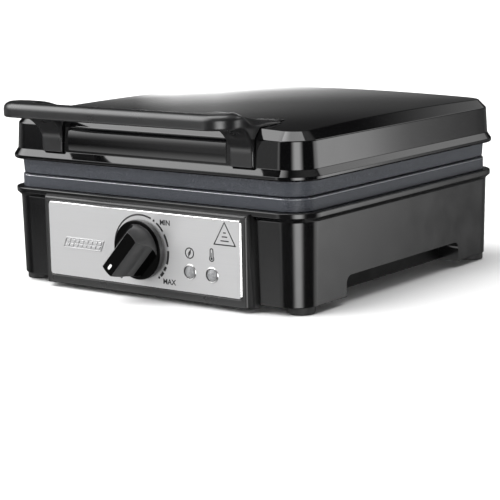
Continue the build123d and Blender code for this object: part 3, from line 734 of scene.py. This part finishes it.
def upright_loop(half_x, low, high, corner, y, steps=6):
    """Rounded rectangle that stands across the front, from X and Z sizes."""
    loop = []
    middle = (low + high) / 2
    half_z = (high - low) / 2
    for quarter, (x, z) in enumerate(((1, 1), (-1, 1), (-1, -1), (1, -1))):
        for step in range(steps + 1):
            angle = (quarter + step / steps) * math.pi / 2
            loop.append((
                x * (half_x - corner) + corner * math.cos(angle),
                y,
                middle + z * (half_z - corner) + corner * math.sin(angle),
            ))
    return loop


LAMP_HOLE = 4.5 * MM
LAMP_RING = 5.75 * MM


def lamp_centres():
    """Middles of the two lamps, from their bezels."""
    low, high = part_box("lamp_bezels")
    return [(low.x + LAMP_RING, high.z - LAMP_RING), (high.x - LAMP_RING, low.z + LAMP_RING)]


def panel_holes(front, back, knob_radius):
    """Bars that cut the holes for the knob's bushing and the lamps, from a front to a back Y."""
    holes = [(knob_axis.x, knob_axis.z, knob_radius)]
    holes += [(x, z, LAMP_HOLE) for x, z in lamp_centres()]
    return [rod_tool((x, front, z), (x, back, z), radius) for x, z, radius in holes]


def control_box_shell(paints):
    """Box with flared sides, rounded front edges and the shallow tray that holds the panel."""
    low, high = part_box("control_box")
    front = low.y
    half = high.x
    inner_corner, edge, tray_corner = 2.0 * MM, 1.2 * MM, 3.1 * MM

    def tray(gap, depth):
        """Edge of the tray, a gap outside the panel."""
        return (panel_high.x + gap, panel_low.z - gap, panel_high.z + gap, tray_corner, depth)

    # Half width, foot, top, corner radius and distance behind the front.
    rings = [
        (half - 8.3 * MM, low.z + 2.5 * MM, high.z - 2.5 * MM, inner_corner, 2.5 * MM),
        (half - 2.6 * MM, low.z + 2.5 * MM, high.z - 2.5 * MM, inner_corner, 8.6 * MM),
        (half, low.z, high.z, edge, 8.6 * MM),
        (half - 3.1 * MM, low.z, high.z, edge, 4.2 * MM),
        (half - 4.8 * MM, low.z, high.z - 0.9 * MM, edge, 1.4 * MM),
        (half - 5.2 * MM, low.z + 0.2 * MM, high.z - 1.25 * MM, edge, 0.8 * MM),
        (half - 5.7 * MM, low.z + 0.6 * MM, high.z - 1.7 * MM, edge, 0.3 * MM),
        (half - 6.5 * MM, low.z + 1.3 * MM, high.z - 2.5 * MM, edge, 0.0),
        tray(0.6 * MM, 0.0),
        tray(0.3 * MM, 0.3 * MM),
        tray(0.2 * MM, 0.8 * MM),
    ]
    loops = [upright_loop(*ring[:4], front + ring[4]) for ring in rings]
    shape = skin(loops, closed=False)
    piece = make_piece("control_box_shell", "base", "black_plastic", paints["box_plastic"], *shape)
    outline = Outline(corner_steps=10)
    clearance = 0.05 * MM
    below_foot = BASE_LOW.z - 10 * MM
    base = tool([
        outline.loop(offset + clearance, z) for offset, z in base_side(outline, below_foot)
    ])
    reach = 10 * MM
    bushing_hole = 6.5 * MM
    combine(piece, [base] + panel_holes(front - reach, front + reach, bushing_hole), "DIFFERENCE")
    keep_flats_flat(piece)
    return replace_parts(piece, "control_box")


def panel_sheet(paints):
    """Steel panel with a polished slanted edge all round."""
    back = panel_high.y
    slant_in, slant_back = 0.75 * MM, 1.1 * MM
    corner = 2.5 * MM
    # Distance in from the edge, and Y.
    rings = [
        (0.2 * MM, back), (0.0, panel_face + slant_back),
        (0.0, panel_face + slant_back - 0.05 * MM), (slant_in, panel_face + 0.06 * MM),
        (slant_in + 0.15 * MM, panel_face),
    ]
    loops = []
    for inset, y in rings:
        low, high = panel_low.z + inset, panel_high.z - inset
        loops.append(upright_loop(panel_high.x - inset, low, high, corner - inset * 0.8, y))
    shape = skin(loops, closed=False)
    piece = make_piece("panel_sheet", "base", "brushed_steel", paints["brushed_steel"], *shape)
    reach = 10 * MM
    bushing_hole = 5.2 * MM
    combine(piece, panel_holes(back + reach, panel_face - reach, bushing_hole), "DIFFERENCE")
    piece.data.materials.append(paints["steel_edge"])
    for face in piece.data.polygons:
        slanted = -0.95 < face.normal.y < -0.1
        if slanted:
            face.material_index = 1
    keep_flats_flat(piece)
    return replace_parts(piece, "control_panel_plate")


def turned(profile, centres, closed):
    """Shape turned about each centre. Profile is radius and height above the panel, in mm."""
    sides = 48
    turns = [2 * math.pi * side / sides for side in range(sides)]
    points, faces = [], []
    for x, z in centres:
        loops = []
        for radius, height in profile:
            out, y = radius * MM, panel_face - height * MM
            loops.append([
                (x + out * math.cos(turn), y, z + out * math.sin(turn)) for turn in turns
            ])
        add_shape(points, faces, skin(loops, closed))
    return points, faces


def lamp_fronts(paints):
    """Polished rolled ring round each lamp, and a domed lens with three ring grooves."""
    ring = [
        (4.52, -0.3), (4.52, 0.16), (4.66, 0.40), (4.92, 0.56), (5.18, 0.59), (5.45, 0.50),
        (5.66, 0.28), (5.74, 0.0), (5.74, -0.02), (5.0, -0.02), (5.0, -0.3),
    ]
    shape = turned(ring, lamp_centres(), closed=True)
    piece = make_piece("lamp_rings", "base", "brushed_steel", paints["steel_edge"], *shape)
    keep_flats_flat(piece)
    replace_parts(piece, "lamp_bezels")
    # The rings' inner sides are in shade.
    piece.data.materials.append(paints["painted_shade_plastic"])
    dark_radius = 4.78 * MM
    middles = [Vector(centre) for centre in lamp_centres()]
    for face in piece.data.polygons:
        place = Vector((face.center.x, face.center.z))
        if min((place - middle).length for middle in middles) < dark_radius:
            face.material_index = 1
    radius, peak, steps = 4.3, 1.5, 40
    groove_depth, groove_half, grooves = 0.3, 0.42, (1.1, 2.2, 3.3)
    dome = [(0.04, peak)]
    for step in range(1, steps + 1):
        out = radius * step / steps
        height = peak * (1 - (out / radius) ** 2)
        for groove in grooves:
            height -= groove_depth * max(0.0, 1 - abs(out - groove) / groove_half)
        dome.append((out, height))
    dome.append((radius, -6.0))
    shape = turned(dome, lamp_centres(), closed=False)
    piece = make_piece("lamp_domes", "base", "clear_lens", paints["clear_lens"], *shape)
    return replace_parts(piece, "lamp_lenses")


class Printing:
    """Flat marks on the panel's face, gathered into one mesh. Places are X and Z about the knob."""

    raised = 0.06 * MM
    sunk = 0.02 * MM
    boldness = 0.13 * MM

    def __init__(self):
        self.points = []
        self.faces = []

    def add(self, points, faces):
        add_shape(self.points, self.faces, (points, faces))

    def on_panel(self, place, depth):
        return (knob_axis.x + place.x, panel_face + depth, knob_axis.z + place.y)

    def stroke(self, line, widths, closed=False):
        """Line of a given width, or of one width at each point."""
        line = [Vector(point) for point in line]
        if isinstance(widths, float):
            widths = [widths] * len(line)
        loops = []
        for index, point in enumerate(line):
            ways = []
            if closed or index:
                ways.append((point - line[index - 1]).normalized())
            if closed or index + 1 < len(line):
                ways.append((line[(index + 1) % len(line)] - point).normalized())
            along = sum(ways, Vector((0, 0))).normalized()
            mitre = max(along.dot(ways[0]), 0.45)
            across = Vector((-along.y, along.x)) * widths[index] / 2 / mitre
            one, other = point + across, point - across
            loops.append([
                self.on_panel(one, self.sunk), self.on_panel(other, self.sunk),
                self.on_panel(other, -self.raised), self.on_panel(one, -self.raised),
            ])
        self.add(*skin(loops, closed))

    def arc(self, centre, radius, start, end, widths, steps=24, closed=False):
        """Part of a circle. Angles are in degrees, clockwise from the top."""
        shares = [step / steps for step in range(steps if closed else steps + 1)]
        line = []
        for share in shares:
            turn = math.radians(start + (end - start) * share)
            line.append((centre[0] + radius * math.sin(turn), centre[1] + radius * math.cos(turn)))
        if not isinstance(widths, float):
            widths = [widths[0] + (widths[1] - widths[0]) * share for share in shares]
        self.stroke(line, widths, closed)

    def patch(self, outline):
        """Filled convex shape."""
        outline = [Vector(point) for point in outline]
        depths = (self.sunk, -self.raised)
        loops = [[self.on_panel(point, depth) for point in outline] for depth in depths]
        self.add(*skin(loops, closed=False))

    def dot(self, centre, radius, sides=20):
        x, z = centre
        turns = [2 * math.pi * side / sides for side in range(sides)]
        self.patch([(x + radius * math.cos(turn), z + radius * math.sin(turn)) for turn in turns])

    def word(self, text, corner, height):
        """Letters with their lower left corner at a place."""
        capital_share = 0.73
        curve = bpy.data.curves.new("letters", "FONT")
        curve.body = text
        curve.size = height / capital_share
        curve.extrude = self.raised / 2
        curve.offset = self.boldness
        letters = bpy.data.objects.new("letters", curve)
        bpy.context.scene.collection.objects.link(letters)
        evaluated = letters.evaluated_get(bpy.context.evaluated_depsgraph_get())
        mesh = bpy.data.meshes.new_from_object(evaluated)
        points = []
        for vertex in mesh.vertices:
            place = Vector((corner[0] + vertex.co.x, corner[1] + vertex.co.y))
            points.append(self.on_panel(place, -vertex.co.z - self.raised / 2))
        self.add(points, [tuple(face.vertices) for face in mesh.polygons])
        bpy.data.objects.remove(letters)


def panel_printing(paints):
    """Dial scale, its two ends, the lamps' symbols and the triangle."""
    ink = Printing()
    dial = 25.3 * MM
    middle = (0.0, 0.0)
    ink.arc(middle, dial, -128, 23, (0.95 * MM, 1.4 * MM), 48)
    dashes = ((36, 54.5), (59.5, 81), (87.5, 110.5), (115.5, 123.5), (126.5, 135.5))
    for index, (start, end) in enumerate(dashes):
        width = (1.5 + 0.2 * index) * MM
        ink.arc(middle, dial, start, end, width, 8)
    for angle in (29.5, 140):
        turn = math.radians(angle)
        ink.dot((dial * math.sin(turn), dial * math.cos(turn)), 0.95 * MM)
    ink.word("0", (-21.2 * MM, -23.6 * MM), 4.0 * MM)
    ink.word("MIN", (18.0 * MM, 19.6 * MM), 3.9 * MM)
    ink.word("MAX", (19.8 * MM, -23.5 * MM), 4.0 * MM)
    (mains_x, lamp_z), (heat_x, _) = lamp_centres()
    knob_place = Vector((knob_axis.x, knob_axis.z))
    mains_symbol(ink, Vector((mains_x, lamp_z + 13.7 * MM)) - knob_place)
    heat_symbol(ink, Vector((heat_x, lamp_z + 14.3 * MM)) - knob_place)
    triangle_symbol(ink, Vector((76.6, 26.2)) * MM)
    return make_piece(
        "panel_printing", "base", "black_plastic", paints["printing_ink"], ink.points, ink.faces
    )


def mains_symbol(ink, centre):
    """Ring with a bolt of two points in it."""
    ink.arc(centre, 3.7 * MM, 0, 360, 0.85 * MM, 32, closed=True)
    for side in (1, -1):
        bolt = [(1.2, 3.1), (-1.7, -0.5), (1.1, 0.4)]
        ink.patch([centre + Vector((x, z)) * side * MM for x, z in bolt])


def heat_symbol(ink, heat):
    """Thermometer: its glass, its bulb and the column in it."""
    stem, bulb = 1.25 * MM, 1.9 * MM
    stem_z, bulb_z = 3.2 * MM, -2.7 * MM
    bulb_start, bulb_sweep = 133, 274
    glass = []
    for step in range(9):
        turn = math.pi * step / 8
        glass.append(heat + Vector((stem * math.cos(turn), stem_z + stem * math.sin(turn))))
    for step in range(15):
        turn = math.radians(bulb_start + bulb_sweep * step / 14)
        glass.append(heat + Vector((bulb * math.cos(turn), bulb_z + bulb * math.sin(turn))))
    ink.stroke(glass, 0.8 * MM, closed=True)
    ink.dot(heat + Vector((0, bulb_z)), 0.95 * MM)
    ink.stroke([heat + Vector((0, -2.5 * MM)), heat + Vector((0, 1.5 * MM))], 0.55 * MM)


def triangle_symbol(ink, apex):
    """Plain triangle with three level bars in it."""
    base_z, half = 10.1 * MM, 9.3 * MM
    ink.stroke([apex, (apex.x + half, base_z), (apex.x - half, base_z)], 0.85 * MM, closed=True)
    for row, reach in enumerate((1.2, 2.4, 3.6)):
        z = base_z + (8.7 - 2.9 * row) * MM
        ink.stroke([(apex.x - reach * MM, z), (apex.x + reach * MM, z)], 0.85 * MM)


def panel_emblem(paints):
    """Raised strip of slanted squares, like a row of a waffle, pressed up from the panel."""
    strip = Printing()
    strip.raised = 0.5 * MM
    low, high = -5.4 * MM, 2.2 * MM
    slant = 0.45
    left, columns, rows = -75.6 * MM, 8, 2
    pitch = 4.35 * MM
    gap = 0.9 * MM
    margin = 0.6 * MM
    height = (high - low - 2 * margin) / rows

    def slanted(x0, x1, z0, z1):
        """Corners of a slanted box."""
        corners = ((x0, z0), (x1, z0), (x1, z1), (x0, z1))
        return [(x + slant * (z - low), z) for x, z in corners]

    for column in range(columns):
        for row in range(rows):
            x = left + column * pitch + gap
            z = low + margin + row * height + gap / 2
            strip.patch(slanted(x, x + pitch - gap, z, z + height - gap))
    right = left + columns * pitch + gap
    strip.stroke(slanted(left - margin, right + margin, low, high), 0.55 * MM, closed=True)
    piece = make_piece(
        "panel_emblem", "base", "brushed_steel", paints["brushed_steel"], strip.points, strip.faces
    )
    bevel_edges(piece, 0.16 * MM, 2)
    keep_flats_flat(piece)
    return piece


# ------------------------------------------------------------------ fairing


def fairing_shell(paints):
    """Fairing between the handle's legs: full at the front, rounded over at its top and corners."""
    low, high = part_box("lid_front_panel")
    top = low.z + 27.7 * MM
    bend, corner = 11.0 * MM, 9.0 * MM
    back = high.y + 3 * MM
    steps = 20
    # The front stands out most at the belly, and tucks in below it.
    belly = low.z + 9 * MM
    tuck = 0.8 * MM
    profile = [(back, low.z)]
    for step in range(steps // 2):
        below = 1 - step / (steps // 2)
        profile.append((low.y + tuck * below ** 2, belly + (low.z - belly) * below))
    for step in range(steps + 1):
        angle = math.pi / 2 * step / steps
        y = low.y + bend * (1 - math.cos(angle))
        profile.append((y, belly + (top - belly) * math.sin(angle)))
    profile.append((back, top))
    shape = skin([[(side * high.x, y, z) for y, z in profile] for side in (-1, 1)], closed=False)
    piece = make_piece("fairing_shell", "lid", "gloss_black", paints["gloss_black"], *shape)
    ends = (low.y - 10 * MM, back - 0.1 * MM)
    window = tool([upright_loop(high.x, top - 60 * MM, top, corner, y, 10) for y in ends])
    combine(piece, [window], "INTERSECT")
    bevel_edges(piece, 0.5 * MM, angle=50)
    keep_flats_flat(piece)
    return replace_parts(piece, "lid_front_panel")


# ------------------------------------------------------------------ cooking plates


def plate_edge(paints):
    """Bright metal line round the top edge of the lower plate: a painted highlight along its edge.
    """
    outline = Outline(corner_steps=16)
    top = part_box("lower_waffle_plate")[1].z
    # Distance outside the plate's edge and height above its top, in mm.
    profile = [
        (-1.6, -0.5), (-1.3, 0.02), (-0.75, -0.14), (-0.3, -0.5), (0.02, -1.05), (0.04, -1.25),
        (-0.4, -1.3),
    ]
    loops = [outline.loop(offset * MM, top + rise * MM) for offset, rise in profile]
    shape = skin(loops, closed=True)
    piece = make_piece(
        "lower_plate_edge", "base", "coated_aluminium", paints["plate_edge_painted_highlight"], *shape
    )
    return piece


# ------------------------------------------------------------------ CAD parts that stay


def soften(node, radius):
    """Round a CAD part's sharp edges by that radius, in metres."""
    part = nodes[node]
    weld = part.modifiers.new("weld", "WELD")
    weld.merge_threshold = 1e-6
    merge = part.modifiers.new("flat_faces", "DECIMATE")
    merge.decimate_type = "DISSOLVE"
    merge.angle_limit = math.radians(0.3)
    bevel_edges(part, radius)
    keep_flats_flat(part)
    part.data.shade_smooth()


def paint_nodes(paints):
    """Give every CAD part the finish of its own material slot."""
    for part in nodes.values():
        slot = part.data.materials[0].name.split(".")[0]
        part.data.materials[0] = paints[slot]


# Edge radius of the CAD parts that show, in mm.
SOFT_EDGES = {
    "lower_waffle_plate": 0.6,
    "upper_waffle_plate": 0.6,
    "hinge_brackets": 0.6,
    "lid_hinge_arms": 0.6,
    "base_bottom_cover": 0.3,
}


make_camera()
make_world()
make_floor()
make_lights()
paints = make_paints()
paint_nodes(paints)
for node, radius in SOFT_EDGES.items():
    soften(node, radius * MM)
lid_shell(paints)
base_shell(paints)
control_box_shell(paints)
panel_sheet(paints)
panel_printing(paints)
panel_emblem(paints)
lamp_fronts(paints)
fairing_shell(paints)
plate_edge(paints)
worn("handle", "handle_shell", "lid", paints["handle"], 0.55 * MM, 8, 0.5)
knob_shell(paints)

scene = bpy.context.scene
scene.view_settings.view_transform = "Standard"
